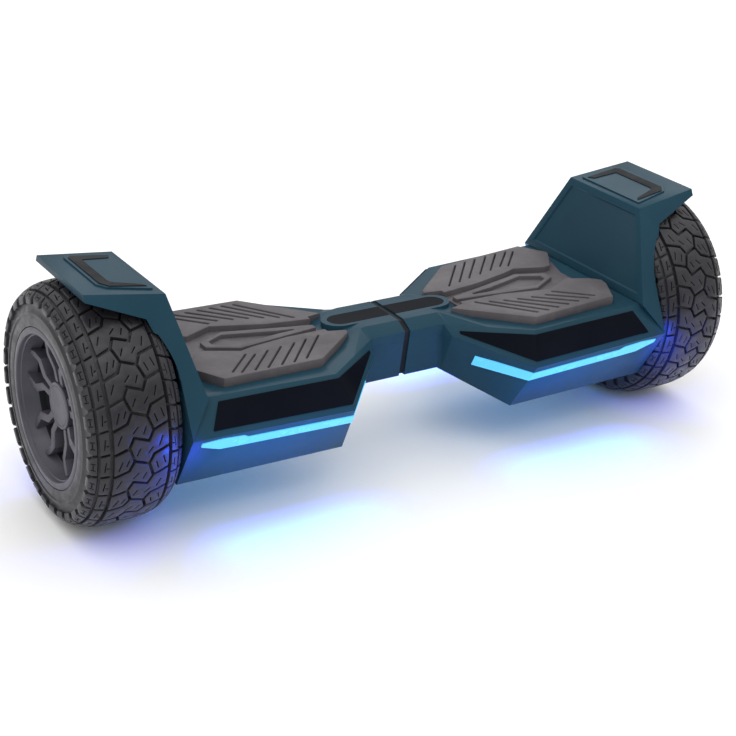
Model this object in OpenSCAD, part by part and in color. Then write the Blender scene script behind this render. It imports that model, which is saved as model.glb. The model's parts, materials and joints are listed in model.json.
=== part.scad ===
// Self-balancing two-wheeled board. Two half bodies twist about a centre pivot
// that lies on the same line as the two hub motors. X runs along that line,
// -Y is the front and Z = 0 is the floor under the tyres.

/* [Wheels] */
// Outer diameter of the tyre
tyre_d = 216; // [190:1:260]
// Width of the tyre
tyre_w = 84; // [70:1:110]
// Depth of the tread rubber and of the sidewalls
tyre_wall = 9; // [6:0.5:14]
// Diameter of the barrel that the tyre sits on
barrel_d = 132; // [124:1:146]
// Diameter of the hub motor's axle
axle_d = 16; // [12:1:20]
// Outer diameter of the wheel bearings
bearing_d = 32; // [28:1:36]
// Width of one wheel bearing
bearing_w = 9; // [7:1:12]
// Number of motor magnets
magnet_count = 20; // [14:2:28]
// Number of forked spokes
spoke_count = 5; // [3:1:7]

/* [Body] */
// Distance from the centre to the outside of each side wall
wall_x = 257; // [225:1:320]
// Front-to-back depth across the creases
body_depth = 219.4; // [195:1:265]
// Front-to-back depth across the deck's edges
deck_depth = 179; // [165:1:195]
// Height of the deck above the axle, where it starts to rise outwards
deck_h = 22; // [18:1:28]
// Depth of the flat underside below the axle
keel_h = 57; // [48:1:68]
// Width of the flat underside at the bend
keel_depth = 162; // [140:1:180]
// Outward rise of the deck and of the creases, in degrees
deck_tilt = 2; // [0:0.5:4]
// Distance from the centre to the bend in the deck's edge
bend_x = 109; // [100:1:120]
// Thickness of the shells
shell_t = 3; // [2:0.5:4]

/* [Neck] */
// Length of each straight neck from the centre
neck_x = 40; // [34:1:48]
// Width of the neck at its widest
neck_w = 76; // [70:1:84]
// Width of the gasket between the two halves
gasket_w = 6; // [4:0.5:10]
// Diameter of the hollow pivot shaft
pivot_d = 24; // [20:1:28]
// Diameter of the cable passage through the pivot shaft
pivot_bore_d = 14; // [10:1:16]
// Wall of the pivot bushes
bush_t = 3; // [2:0.5:4]

/* [Wheel guard] */
// Gap between a side wall and its tyre
wheel_gap = 2.6; // [2:0.1:6]
// Gap between the tyre and the guard over it
guard_gap = 2; // [1.5:0.5:6]
// Length of the guard's roof over the tyre
roof_len = 70.6; // [50:1:80]
// Rise of the guard's roof at its outer end
roof_rise = 9.5; // [6:0.5:14]
// Thickness of the guard
guard_t = 3; // [2:0.5:4]

/* [Foot pads] */
// Height of a foot pad above the deck
pad_h = 8; // [5:0.5:12]
// Downward travel of a foot pad
pad_travel = 2; // [1:0.5:3]
// Gap all round a foot pad
pad_gap = 0.6; // [0.4:0.1:1]

/* [Controls] */
// Diameter of the power button
button_d = 16; // [12:1:20]
// Travel of the power button
button_travel = 1; // [0.5:0.1:2]
// Bore of the charging socket
socket_bore_d = 11; // [9:1:13]
// Depth of the charging socket's bore
socket_depth = 10; // [8:1:14]

/* [Hidden] */
$fn = 96;

// Colours
shell_colour = "#2f5560";
gloss_colour = "#0d1116";
light_colour = "#66ccff";
pad_colour = "#5f585c";
tyre_colour = "#302d33";
rim_colour = "#56525e";
steel_colour = "silver";
cast_colour = "#a8acb0";
board_colour = "#1f6b45";

// Clearances
eps = 0.02;
running = 0.05;
body_gap = 0.3;

// Heights and places, measured from the axle's line
tyre_r = tyre_d / 2;
axle_z = tyre_r;
barrel_r = barrel_d / 2;
wheel_in = wall_x + wheel_gap;
wheel_mid = wheel_in + tyre_w / 2;
roof_z = tyre_r + guard_gap;
rise = tan(deck_tilt);
crease_drop = 28.5;
deck_dish = 0.1;
crease_y = body_depth / 2;
deck_y = deck_depth / 2;
keel_y = keel_depth / 2;
crease_bend_x = bend_x - 9;
keel_bend_x = bend_x - 15;

// Neck section, half of it, from the top down
neck_top = deck_h + 6.6;
neck_top_y = neck_w / 2 - 13;
neck_y = neck_w / 2;
neck_low = -26;
neck_low_y = neck_y - 6;
fade_x = 74;

// Corners of the body at the bend: plateau, deck edge, crease and keel
bend_a = [bend_x, neck_top_y, deck_h - deck_dish];
bend_b = [bend_x, deck_y, deck_h];
bend_c = [crease_bend_x, crease_y, deck_h - crease_drop];
bend_d = [keel_bend_x, keel_y, -keel_h];

// Corners where the body leaves the neck. The crease starts in the plane of
// the upper face, a little below the deck's edge.
neck_b = [neck_x, neck_y, deck_h - 0.4];
flare_share = 0.28;
neck_c = neck_b
    + flare_share * (bend_c - bend_b)
    + flare_share * (bend_x - crease_bend_x) / (bend_x - neck_x) * (bend_b - neck_b);
neck_a = [neck_x, neck_top_y, neck_top];
neck_d = [neck_x, neck_low_y, neck_low];

// Corners at the side wall. The keel's edge stays in the plane of the lower face.
wall_b = [wall_x, deck_y, deck_h + (wall_x - bend_x) * rise];
wall_a = [wall_x, neck_top_y, wall_b.z - deck_dish];
wall_c = [wall_x, crease_y, bend_c.z + (wall_x - crease_bend_x) * rise];
wall_d = [wall_x, keel_y - (wall_x - keel_bend_x) * rise
    * (crease_y - keel_y) / (bend_c.z + keel_h), -keel_h];

// Corners just past the neck, and where the plateau has run out
step = 4 / (bend_x - neck_x);
fade = (fade_x - neck_x) / (bend_x - neck_x);
fade_b = mix(neck_b, bend_b, fade);
fade_a = [fade_x, neck_top_y, fade_b.z];
fade_c = mix(neck_c, bend_c, fade);
fade_d = mix(neck_d, bend_d, fade);

// Wheel, along X from the wheel's middle
tread_drop = 12;
bead_x = tyre_w / 2 - 5;
flange_x = tyre_w / 2 - 0.6;
flange_r = barrel_r + 5;
magnet_t = 2.4;
magnet_len = 24;
magnet_mid = -3;
magnet_in = 54.6;
drum_r = magnet_in + magnet_t + 0.6;
stator_r = magnet_in - 0.6;
plate_x = 14;
plate_t = 5;
boss_x = plate_x + plate_t + 5;
boss_r = bearing_d / 2 + 6;
bearing_r = bearing_d / 2;
cover_x = -33;
cover_t = 4;
cover_r = barrel_r - 3;
cap_r = 21;
cap_t = 5;
axle_r = axle_d / 2;
shoulder_r = axle_r + 3;
axle_in = wall_x - 45;
axle_out = wheel_mid + boss_x - 1;

// Chassis
floor_t = 5;
floor_z = -keel_h + shell_t;
floor_y = 62;
block_x0 = wall_x - 43;
block_x1 = wall_x - 7;
block_y = 24;
clamp_h = 17;
bolt_r = 3;
bolt_x = [block_x0 + 8, block_x1 - 8];
bolt_y = 16;
pivot_r = pivot_d / 2;
bush_r = pivot_r + bush_t;
tube_r = 21.5;
tube_x0 = gasket_w / 2 + 5;
tube_x1 = 54;
bush_len = 14;
shaft_len = tube_x1 + 2;
retainer_t = 3;
screw_r = 2;
screw_head_r = 4;
post_r = 5.5;
screw_x = [keel_bend_x + 12, wall_x - 17];
screw_y = 50;
screw_len = 22;

// Foot pads, on the deck's plane from the bend
pocket_depth = 3;
tray_t = 3;
pad_foot_r = 3.7;
pad_foot_x = [20, 88];
pad_foot_y = 40;

// Electronics
battery_size = [112, 72, 44];
battery_x = keel_bend_x + 6;
board_x = keel_bend_x + 8;
board_size = [104, 84, 1.6];
sensor_size = [72, 44, 1.6];
sensor_drop = 9;

// Controls, on the left half's rear face: places along X and shares of the
// lower face's height from the crease down
button_x = 150;
socket_x = 192;
control_share = 0.62;
flap_r = 10.5;
flap_t = 2.4;
hinge_half = 5;

// Lit strips on the lower faces: place along the board, from 0 at the neck to
// 1 at the bend and 2 at the wall, then the upper and lower edge as shares
strip_rows = [
    [0.36, 0.27, 0.50], [1, 0.14, 0.32], [1.66, 0.13, 0.30], [1.69, 0.08, 0.30],
    [1.82, 0.06, 0.29], [1.94, 0.09, 0.16]
];
// Gloss panels on the upper faces, in the same way
panel_rows = [[0.16, 0.42, 0.60], [1, 0.12, 0.84], [1.79, 0.15, 0.84], [1.87, 0.83, 0.85]];
panel_t = 1.2;
lens_out = 0.8;
led_t = 1.6;

// ---------------------------------------------------------------- helpers

function mix(a, b, t) = a + t * (b - a);
function unit(v) = v / norm(v);
function flip_y(p) = [p.x, -p.y, p.z];

// Closed ring from the four corners of one half section
function ring(a, b, c, d) = [a, b, c, d, flip_y(d), flip_y(c), flip_y(b), flip_y(a)];

// Point where two lines in the YZ plane meet, each given by a point and a direction
function meet(p, u, q, v) =
    let (turn = u.x * v.y - u.y * v.x)
    abs(turn) < 0.001 ? p : p + ((q.x - p.x) * v.y - (q.y - p.y) * v.x) / turn * u;

// One ring moved inwards by t within its own YZ section
function inset(r, t) =
    let (n = len(r), flat = [for (p = r) [p.y, p.z]])
    [for (i = [0 : n - 1])
        let (
            before = flat[(i + n - 1) % n],
            here = flat[i],
            after = flat[(i + 1) % n],
            u = unit(here - before),
            v = unit(after - here),
            s = meet(here + t * [u.y, -u.x], u, here + t * [v.y, -v.x], v)
        )
        [r[i].x, s.x, s.y]];

// Solid through a row of rings with equal numbers of points, each ring running
// clockwise when seen from the row's end
module loft(rings) {
    n = len(rings[0]);
    last = (len(rings) - 1) * n;
    sides = [
        for (k = [0 : n : last - n], i = [0 : n - 1])
            let (j = (i + 1) % n)
            each [[k + i, k + j, k + n + i], [k + j, k + n + j, k + n + i]]
    ];
    start = [for (i = [n - 1 : -1 : 0]) i];
    end = [for (i = [0 : n - 1]) last + i];
    polyhedron(points = [for (r = rings) each r], faces = concat([start], sides, [end]));
}

// Extrusion of a YZ outline along X, and of an XZ outline along Y
module along_x(x0, x1) {
    translate([x0, 0, 0])
        rotate([90, 0, 90])
            linear_extrude(x1 - x0)
                children();
}

module along_y(half) {
    translate([0, half, 0])
        rotate([90, 0, 0])
            linear_extrude(2 * half)
                children();
}

// Rod or hole along X
module rod(r, x0, x1) {
    translate([x0, 0, 0])
        rotate([0, 90, 0])
            cylinder(r = r, h = x1 - x0);
}

// Outline of the tyre's tread and shoulders as radius and place along the axle,
// moved outwards by grow
function crown(grow, k0, dk, k1) = [
    for (k = [k0 : dk : k1]) [tyre_r - tread_drop * pow(abs(k), 4) + grow, k * (tyre_w / 2 + grow)]
];

// Revolved piece whose profile is drawn as radius and place along the axle
module turned() {
    translate([wheel_mid, 0, 0])
        rotate([90, 0, 90])
            rotate_extrude()
                children();
}

// Frame that lies on the deck's plane, from the bend outwards
module on_deck() {
    translate([bend_x, 0, deck_h])
        rotate([0, -deck_tilt, 0])
            children();
}

// Frame that lies on the guard's roof, from its inner edge outwards
module on_roof() {
    translate([roof_in, 0, roof_z])
        rotate([0, -atan(roof_rise / roof_len), 0])
            children();
}

module both_faces() {
    children();
    mirror([0, 1, 0])
        children();
}

// The two halves stand on their wheels
module right_side() {
    translate([0, 0, axle_z])
        children();
}

module left_side() {
    right_side()
        mirror([1, 0, 0])
            children();
}

// ------------------------------------------------------------ body forms

neck_ring = ring(neck_a, neck_b, mix(neck_b, neck_d, 0.17), neck_d);
body_rings = [
    [for (p = neck_ring) [gasket_w / 2, p.y, p.z]],
    neck_ring,
    ring(
        mix(neck_a, fade_a, step / fade), mix(neck_b, bend_b, step),
        mix(neck_c, bend_c, step), mix(neck_d, bend_d, step)
    ),
    ring(fade_a, fade_b, fade_c, fade_d),
    ring(bend_a, bend_b, bend_c, bend_d),
    ring(wall_a, wall_b, wall_c, wall_d)
];

module neck_outline(t = 0) {
    half = [
        [neck_top_y - 0.5 * t, neck_top - t],
        [neck_y - t, neck_b.z - 0.6 * t],
        [neck_low_y - t, neck_low + t]
    ];
    polygon(concat(half, [for (i = [2 : -1 : 0]) [-half[i].x, half[i].y]]));
}

module outer_form() {
    loft(body_rings);
}

module inner_form() {
    last = len(body_rings) - 1;
    loft([
        for (i = [0 : last])
            let (shift = i == 0 ? -1 : i == last ? -shell_t : 0)
            [for (p = inset(body_rings[i], shell_t)) p + [shift, 0, 0]]
    ]);
}

// Space above the parting line, which runs just below the creases
module above_parting() {
    drop = 1.2;
    along_y(body_depth)
        polygon([
            [-1, neck_c.z - 3], [neck_x - 1, neck_c.z - 3], [bend_c.x + 1, bend_c.z - drop],
            [wall_x + 1, wall_c.z - drop], [wall_x + 1, roof_z], [-1, roof_z]
        ]);
}

module pad_outline(grow = 0) {
    g = grow;
    polygon([
        [118 - g, -79 - g], [214 + g, -76 - g], [229 + g, -48 - g], [231 + g, -38],
        [222 + g, -28 - g / 2], [216 + g, -8], [216 + g, 8], [222 + g, 26 + g / 2], [229 + g, 48],
        [212 + g, 77 + g], [112, 71 + g], [60 - g, 28 + g], [58 - g, 22], [76 - g, 18 - g],
        [76 - g, -18 + g], [60 - g, -22 + g]
    ]);
}

module pad_prism(grow, z0, z1) {
    on_deck()
        translate([-bend_x, 0, z0])
            linear_extrude(z1 - z0)
                pad_outline(grow);
}

module pad_feet(r, z0, z1) {
    on_deck()
        for (x = pad_foot_x, y = [-pad_foot_y, pad_foot_y])
            translate([x, y, z0])
                cylinder(r = r, h = z1 - z0);
}

// Rounded tongue along the neck, used for the island and its inlay
module tongue(x0, length, half) {
    round_len = 1.2 * half;
    polygon(concat(
        [[x0, -half]],
        [for (a = [-90 : 15 : 90]) [x0 + length - round_len + round_len * cos(a), half * sin(a)]],
        [[x0, half]]
    ));
}

island_half = 15;
island_len = 67;
inlay_half = 11;
inlay_len = 61;
inlay_t = 0.8;

// ---------------------------------------------------- pieces on the faces

// Point on a face between two edges: place s along the board, share v of the
// way from the upper edge to the lower one, height h above the face
function edge_at(edge, s) = s < 1 ? mix(edge[0], edge[1], s) : mix(edge[1], edge[2], s - 1);
function face_normal(p, q, r) = unit(cross(q - p, r - p));
function normal_at(upper, lower, s) =
    let (
        n0 = face_normal(upper[0], upper[1], lower[1]),
        n1 = face_normal(upper[1], upper[2], lower[2]),
        both = unit(n0 + n1)
    )
    s < 0.999 ? n0 : s > 1.001 ? n1 : both / (both * n1);
function on_face(upper, lower, s, v, h) =
    mix(edge_at(upper, s), edge_at(lower, s), v) + h * normal_at(upper, lower, s);

deck_edge = [neck_b, bend_b, wall_b];
crease_edge = [neck_c, bend_c, wall_c];
keel_edge = [neck_d, bend_d, wall_d];

// Plate on a face, through rows of place, upper share and lower share
module face_plate(upper, lower, rows, h0, h1, grow = 0) {
    loft([
        for (r = rows)
            [
                on_face(upper, lower, r[0], r[1] - grow, h0),
                on_face(upper, lower, r[0], r[1] - grow, h1),
                on_face(upper, lower, r[0], r[2] + grow, h1),
                on_face(upper, lower, r[0], r[2] + grow, h0)
            ]
    ]);
}

// Frame on the lower rear face at a place x, with Z along the face's normal
module on_lower_face(x) {
    s = 1 + (x - bend_c.x) / (wall_c.x - bend_c.x);
    n = normal_at(crease_edge, keel_edge, s);
    p = on_face(crease_edge, keel_edge, s, control_share, 0);
    along = unit(wall_c - bend_c);
    down = cross(n, along);
    multmatrix([
        [along.x, down.x, n.x, p.x],
        [along.y, down.y, n.y, p.y],
        [along.z, down.z, n.z, p.z],
        [0, 0, 0, 1]
    ])
        children();
}

// ---------------------------------------------------------------- shells

module screw_places() {
    for (x = screw_x, y = [-screw_y, screw_y])
        translate([x, y, 0])
            children();
}

// The pad's pocket is turned over on the left half, where the same pad is turned about Z
module upper_shell(pad_turned = false) {
    color(shell_colour)
        difference() {
            union() {
                intersection() {
                    difference() {
                        outer_form();
                        inner_form();
                    }
                    above_parting();
                }
                mirror([0, pad_turned ? 1 : 0, 0])
                    pad_prism(3, -pocket_depth - tray_t, -1);
                translate([0, 0, neck_top - 6])
                    linear_extrude(6)
                        tongue(gasket_w / 2, island_len, island_half);
                for (x = screw_x, y = [-screw_y, screw_y])
                    translate([x, y, floor_z + floor_t])
                        cylinder(r = post_r, h = deck_h + (x - bend_x) * rise - 1 - floor_z - floor_t);
            }
            mirror([0, pad_turned ? 1 : 0, 0])
                pad_prism(pad_gap, -pocket_depth, 20);
            translate([0, 0, neck_top - inlay_t])
                linear_extrude(1)
                    tongue(gasket_w / 2 - 1, inlay_len + 1 + eps, inlay_half + eps);
            pad_feet(pad_foot_r + body_gap, -20, 0);
            screw_places()
                translate([0, 0, floor_z])
                    cylinder(r = screw_r + eps, h = screw_len);
            rod(shoulder_r + body_gap, wall_x - 2 * shell_t, wall_x + 1);
        }
}

module lower_shell(controls = false) {
    color(shell_colour)
        difference() {
            outer_form();
            inner_form();
            above_parting();
            both_faces()
                face_plate(crease_edge, keel_edge, strip_rows, -shell_t - 3, 3, 0.005);
            screw_places() {
                translate([0, 0, -keel_h - 1])
                    cylinder(r = screw_r + eps, h = shell_t + 2);
                translate([0, 0, -keel_h - 1])
                    cylinder(r = screw_head_r + eps, h = 2.2);
            }
            rod(shoulder_r + body_gap, wall_x - 2 * shell_t, wall_x + 1);
            if (controls) {
                on_lower_face(button_x)
                    translate([0, 0, -20])
                        cylinder(r = button_d / 2 + body_gap, h = 30);
                on_lower_face(socket_x)
                    translate([0, 0, -20])
                        cylinder(r = socket_bore_d / 2 + 2.5 + eps, h = 30);
            }
        }
}

// ----------------------------------------------------------- wheel guard

roof_in = wall_x - 2;
roof_out = roof_in + roof_len;
skirt_in = wall_x + 19;
// How far back the arms of the guard reach at the roof
arm_top_y = 54;
arm_slope = (crease_y - arm_top_y) / (roof_z - wall_c.z);

module guard_side(t) {
    low = wall_c.z + 1;
    top = roof_z + roof_rise + 1;
    low_y = crease_y - t - arm_slope;
    top_y = low_y - (top - low) * arm_slope;
    polygon([[-low_y, low], [low_y, low], [top_y, top], [-top_y, top]]);
}

// How far its inner face leans in from the wall at the ridge
guard_lean = 21;
// Depth of the roof's outer lip, and of the skirt that hangs behind it
lip_drop = 6;
skirt_drop = 16;
// The skirt's heel, below the roof and out from the wall, and where it meets the wall
heel = [5, -53];
toe_drop = 65;

module guard_front() {
    polygon([
        [wall_x, wall_c.z], [wall_x - guard_lean, wall_b.z], [roof_in, roof_z],
        [roof_out, roof_z + roof_rise], [roof_out, roof_z + roof_rise - lip_drop],
        [skirt_in, roof_z - skirt_drop], [wall_x + heel.x, roof_z + heel.y], [wall_x, roof_z - toe_drop]
    ]);
}

// Room behind the guard's face, open towards the wheel
module guard_room() {
    foot = 6;
    mouth = 3;
    floor_drop = 60;
    floor_out = 30;
    lean = (roof_in - wall_x + guard_lean) / (roof_z - wall_b.z);
    low = wall_b.z + foot;
    inner = wall_x - guard_lean + foot * lean + guard_t;
    polygon([
        [inner, low], [roof_in + guard_t, roof_z - guard_t - 0.5],
        [roof_out - mouth, roof_z - guard_t + roof_rise * (roof_len - mouth) / roof_len],
        [roof_out - mouth, roof_z - floor_drop], [wall_x + floor_out, low]
    ]);
}

// Space that the turning tyre keeps clear, open outwards
module tyre_room(gap) {
    turned()
        polygon(concat(
            [[0, -tyre_w / 2 - gap]], crown(gap, -1, 0.25, 0), [[tyre_r + gap, tyre_w], [0, tyre_w]]
        ));
}

// The body under the guard, as one straight prism along the deck's slope
module body_wedge() {
    crease_w = (bend_x - crease_bend_x) * sin(deck_tilt) - crease_drop * cos(deck_tilt);
    low = crease_w - 30;
    on_deck()
        along_x(60, wall_x - bend_x + 30)
            polygon([
                [-deck_y, 0], [deck_y, 0], [crease_y, crease_w], [crease_y, low],
                [-crease_y, low], [-crease_y, crease_w]
            ]);
}

platform_t = 1.6;
platform_x0 = 7;
platform_x1 = 52;
platform_y = 44;

module wheel_guard() {
    color(shell_colour) {
        difference() {
            intersection() {
                along_x(wall_x - 30, roof_out + 1)
                    guard_side(0);
                along_y(crease_y + 1)
                    guard_front();
            }
            body_wedge();
            intersection() {
                along_x(wall_x - 30, roof_out + 1)
                    guard_side(guard_t);
                along_y(crease_y + 1)
                    guard_room();
            }
            tyre_room(guard_gap);
        }
        on_roof()
            linear_extrude(platform_t)
                polygon([
                    [platform_x0, -platform_y], [platform_x1 - 7, -platform_y + 6], [platform_x1, -platform_y + 14],
                    [platform_x1, platform_y - 6], [platform_x1 - 5, platform_y], [platform_x0, platform_y]
                ]);
    }
}

module guard_inlay() {
    bar = 10;
    x1 = platform_x1 - 3;
    x0 = x1 - bar;
    y = platform_y - 5;
    color(gloss_colour)
        on_roof()
            translate([0, 0, platform_t])
                linear_extrude(0.8)
                    polygon([
                        [platform_x0 + 3, y], [x1 - 3, y], [x1, y - 4], [x1, -y + 10], [x1 - 6, -y + 2],
                        [platform_x0 + 3, -y], [platform_x0 + 6, -y + 4], [x0 - 2, -y + bar + 1],
                        [x0, -y + bar + 5], [x0, y - bar], [platform_x0 + 6, y - bar + 3]
                    ]);
}

// ------------------------------------------------------ panels and lights

module face_panel() {
    color(gloss_colour)
        face_plate(deck_edge, crease_edge, panel_rows, 0, panel_t);
}

module face_light() {
    color(light_colour)
        face_plate(crease_edge, keel_edge, strip_rows, -shell_t - 0.5, lens_out);
}

module led_boards() {
    rows = [[1.04, 0.12, 0.36], [1.92, 0.10, 0.34]];
    color(board_colour)
        both_faces()
            face_plate(crease_edge, keel_edge, rows, -shell_t - 0.7 - led_t, -shell_t - 0.7);
}

module deck_inlay() {
    color(gloss_colour)
        translate([0, 0, neck_top - inlay_t])
            linear_extrude(inlay_t)
                tongue(gasket_w / 2, inlay_len, inlay_half);
}

// ---------------------------------------------------------------- pads

module foot_pad() {
    slot_depth = 1.6;
    low = -pocket_depth + pad_travel + body_gap;
    color(pad_colour) {
        difference() {
            pad_prism(0, low, pad_h);
            on_deck()
                translate([-bend_x, 0, pad_h - slot_depth])
                    linear_extrude(slot_depth + 1)
                        pad_slots();
        }
        pad_feet(pad_foot_r, low - 6, low);
    }
}

// Slanted slots in both lobes of a pad
module pad_slots() {
    for (i = [0 : 6]) {
        translate([104 + 14 * i, -48])
            rotate(-52)
                square([46 - 2 * i, 2.4], center = true);
        translate([106 + 14 * i, 46])
            rotate(52)
                square([46 - 2 * i, 2.4], center = true);
    }
}

// ------------------------------------------------------------- chassis

module chassis(shaft_hole) {
    color(cast_colour)
        difference() {
            union() {
                translate([keel_bend_x + 2, -floor_y, floor_z])
                    cube([wall_x - shell_t - keel_bend_x - 3, 2 * floor_y, floor_t]);
                translate([block_x0, -block_y, floor_z])
                    cube([block_x1 - block_x0, 2 * block_y, -floor_z]);
                rod(tube_r, tube_x0, tube_x1);
                along_y(7)
                    polygon([
                        [neck_x - 6, -tube_r + 2], [tube_x1, -pivot_r - 8], [keel_bend_x + 3, -pivot_r - 10],
                        [keel_bend_x + 3, floor_z + 1], [keel_bend_x - 6, floor_z + 6]
                    ]);
            }
            rod(shaft_hole, 0, tube_x1 + 1);
            rod(axle_r + eps, block_x0 - 1, wall_x);
            for (x = bolt_x, y = [-bolt_y, bolt_y])
                translate([x, y, -20])
                    cylinder(r = bolt_r + eps, h = 30);
            screw_places()
                translate([0, 0, floor_z - 1])
                    cylinder(r = screw_r + eps, h = floor_t + 2);
        }
}

module axle_clamp() {
    color(cast_colour)
        difference() {
            translate([block_x0, -block_y, 0.5])
                cube([block_x1 - block_x0, 2 * block_y, clamp_h - 5]);
            rod(axle_r + eps, block_x0 - 1, block_x1 + 1);
            for (x = bolt_x, y = [-bolt_y, bolt_y])
                translate([x, y, 0])
                    cylinder(r = bolt_r + eps, h = clamp_h + 1);
        }
}

module clamp_bolts() {
    head_z = clamp_h - 4.5;
    color(steel_colour)
        for (x = bolt_x, y = [-bolt_y, bolt_y])
            translate([x, y, 0]) {
                translate([0, 0, -19])
                    cylinder(r = bolt_r, h = 19 + head_z);
                difference() {
                    translate([0, 0, head_z])
                        cylinder(r = bolt_r + 2, h = 3.4);
                    translate([0, 0, head_z + 1.4])
                        cylinder(r = 2.4, h = 3, $fn = 6);
                }
            }
}

module shell_screws() {
    color(steel_colour)
        screw_places() {
            translate([0, 0, -keel_h + 1])
                cylinder(r = screw_r, h = screw_len - 2);
            difference() {
                translate([0, 0, -keel_h])
                    cylinder(r = screw_head_r, h = 1.2);
                translate([0, 0, -keel_h - 1])
                    cylinder(r = 1.4, h = 1.8, $fn = 6);
            }
        }
}

// ---------------------------------------------------------------- wheel

module axle() {
    color(steel_colour)
        difference() {
            union() {
                rod(axle_r, axle_in, axle_out);
                rod(shoulder_r, wall_x - 6, wheel_mid + cover_x - 0.3);
            }
            rod(4, axle_in - 1, wheel_mid + cover_x + bearing_w + 4);
        }
}

module stator() {
    x0 = wheel_mid + magnet_mid - magnet_len / 2 + 1;
    x1 = x0 + magnet_len - 2;
    coil = 4;
    color("#8a5a2b")
        difference() {
            union() {
                rod(stator_r, x0, x1);
                rod(stator_r - 6, x0 - coil, x1 + coil);
            }
            rod(axle_r + eps, x0 - coil - 1, x1 + coil + 1);
            for (side = [x0 - coil - 1, x1])
                rod(30, side, side + coil + 1);
            for (i = [0 : 17])
                rotate([i * 20, 0, 0])
                    translate([x0 - coil - 1, -1, stator_r - 16])
                        cube([x1 - x0 + 2 * coil + 2, 2, 20]);
        }
}

module tyre() {
    color(tyre_colour)
        difference() {
            turned()
                polygon(concat(
                    [[flange_r, -tyre_w / 2 + 0.8]],
                    crown(0, -1, 0.125, 1),
                    [[flange_r, tyre_w / 2 - 0.8], [flange_r, bead_x], [barrel_r, bead_x]],
                    [[barrel_r, tyre_w / 2 - tyre_wall]],
                    crown(-tyre_wall, 1, -0.25, -1),
                    [[barrel_r, -tyre_w / 2 + tyre_wall], [barrel_r, -bead_x], [flange_r, -bead_x]]
                ));
            for (x = [-24, -8, 8, 24])
                turned()
                    translate([tyre_r - 5, x - 1.2])
                        square([6, 2.4]);
        }
}

module rim() {
    dish_x = plate_x + plate_t;
    color(rim_colour) {
        turned()
            polygon([
                [drum_r, cover_x], [drum_r, plate_x], [bearing_r, plate_x], [bearing_r, plate_x + bearing_w + 0.5],
                [axle_r + 2, plate_x + bearing_w + 0.5], [axle_r + 2, boss_x], [boss_r, boss_x], [boss_r, dish_x],
                [drum_r - 1, dish_x], [barrel_r - 3, flange_x - 4], [barrel_r - 1, flange_x],
                [flange_r - eps, flange_x], [flange_r - eps, bead_x + eps], [barrel_r - eps, bead_x + eps],
                [barrel_r - eps, -bead_x - eps], [flange_r - eps, -bead_x - eps], [flange_r - eps, -flange_x],
                [cover_r + eps, -flange_x], [cover_r + eps, cover_x]
            ]);
        for (i = [0 : spoke_count - 1])
            translate([wheel_mid + dish_x, 0, 0])
                rotate([i * 360 / spoke_count, 0, 0])
                    rotate([90, 0, 90])
                        linear_extrude(8)
                            for (m = [0, 1])
                                mirror([m, 0])
                                    spoke_prong();
    }
}

// One prong of a forked spoke, drawn outwards along Y
module spoke_prong() {
    end_r = drum_r - 1;
    polygon([
        [0, cap_r + eps], [5, cap_r + eps], [6, boss_r + 8], [17, boss_r + 20], [16, end_r - 3],
        [12, end_r - 2], [12, boss_r + 22], [3, boss_r + 12], [0, boss_r + 12]
    ]);
}

module hub_cap() {
    color(rim_colour)
        rod(cap_r, wheel_mid + boss_x, wheel_mid + boss_x + cap_t);
}

module motor_cover() {
    color(cast_colour)
        turned()
            polygon([
                [shoulder_r + body_gap, cover_x - cover_t], [cover_r, cover_x - cover_t], [cover_r, cover_x],
                [boss_r, cover_x], [boss_r, cover_x + bearing_w], [bearing_r, cover_x + bearing_w],
                [bearing_r, cover_x], [shoulder_r + body_gap, cover_x]
            ]);
}

module magnets() {
    w = 2 * PI * magnet_in / magnet_count - 3;
    x0 = wheel_mid + magnet_mid - magnet_len / 2;
    color(steel_colour)
        for (i = [0 : magnet_count - 1])
            rotate([i * 360 / magnet_count, 0, 0])
                translate([x0, -w / 2, magnet_in])
                    cube([magnet_len, w, magnet_t]);
}

module wheel_bearings() {
    color(steel_colour)
        for (x = [cover_x, plate_x])
            difference() {
                rod(bearing_r - eps, wheel_mid + x + eps, wheel_mid + x + bearing_w);
                rod(axle_r + running, wheel_mid + x - 1, wheel_mid + x + bearing_w + 1);
            }
}

// ---------------------------------------------------------- centre pivot

module pivot_shaft() {
    color(steel_colour)
        difference() {
            rod(pivot_r, -shaft_len, shaft_len + retainer_t + 2);
            rod(pivot_bore_d / 2, -shaft_len - 1, shaft_len + retainer_t + 3);
        }
}

module pivot_bushes() {
    color("#b08d57")
        for (x = [tube_x0, tube_x1 - bush_len])
            difference() {
                rod(bush_r - eps, x, x + bush_len);
                rod(pivot_r + running, x - 1, x + bush_len + 1);
            }
}

module pivot_retainer() {
    color(steel_colour) {
        difference() {
            rod(pivot_r + 6, tube_x1 + body_gap, tube_x1 + body_gap + retainer_t);
            rod(pivot_r + eps, tube_x1, tube_x1 + retainer_t + 1);
        }
        difference() {
            rod(pivot_r + 6, -tube_x1 - retainer_t, -tube_x1);
            rod(pivot_r + eps, -tube_x1 - retainer_t - 1, -tube_x1 + 1);
        }
    }
}

module centre_gasket() {
    color(gloss_colour)
        difference() {
            along_x(-gasket_w / 2, gasket_w / 2 - body_gap)
                neck_outline(1.5);
            rod(tube_r, -gasket_w, gasket_w);
        }
}

// ----------------------------------------------------------- electronics

module battery_pack() {
    color("#2a4d9b")
        translate([battery_x, -battery_size.y / 2, floor_z + floor_t])
            cube(battery_size);
}

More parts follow.
